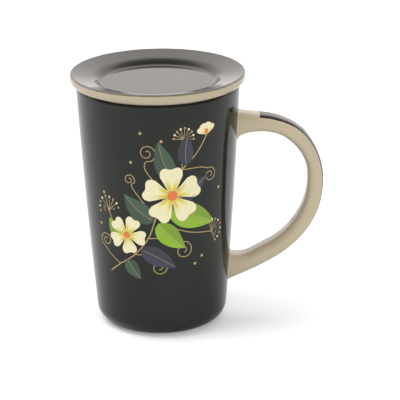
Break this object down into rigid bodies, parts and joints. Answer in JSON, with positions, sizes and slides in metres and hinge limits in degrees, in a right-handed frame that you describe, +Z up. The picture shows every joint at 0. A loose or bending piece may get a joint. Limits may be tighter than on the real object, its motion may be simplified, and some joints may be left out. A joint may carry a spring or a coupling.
{
  "type": "lidded tea mug with infuser",
  "caption": "Tapered ceramic tea mug with a strap handle, a lift-off saucer lid and a steel infuser basket that hangs from the lip under the lid.",
  "frame": {"origin": "centre of the foot ring's face, on the mug's axis, at the height of the table", "axes": "+Z up along the mug's axis, +X from the axis towards the handle, -Y towards the printed side"},
  "size_m": [0.1337, 0.0924, 0.1376],
  "materials": {
    "dark_glaze": "gloss near-black glaze outside, pale glaze inside",
    "pale_glaze": "gloss warm off-white glaze",
    "lid_glaze": "gloss near-black glaze on top, warm off-white glaze on the side and underside",
    "pressed_steel": "satin stainless steel",
    "slotted_steel": "satin perforated stainless steel"
  },
  "bodies": {
    "mug": {"mug_body": "dark_glaze", "handle": "pale_glaze"},
    "infuser": {"infuser_rim": "pressed_steel", "infuser_collar": "pressed_steel", "infuser_wall": "slotted_steel", "infuser_foot_band": "pressed_steel", "infuser_floor": "slotted_steel"},
    "lid": {"lid": "lid_glaze"}
  },
  "joints": [
    {"name": "infuser_lift", "type": "slide", "parent": "mug", "child": "infuser", "axis": [0, 0, 1], "range_m": [0, 0.105]},
    {"name": "lid_lift", "type": "slide", "parent": "infuser", "child": "lid", "axis": [0, 0, 1], "range_m": [0, 0.05]}
  ]
}
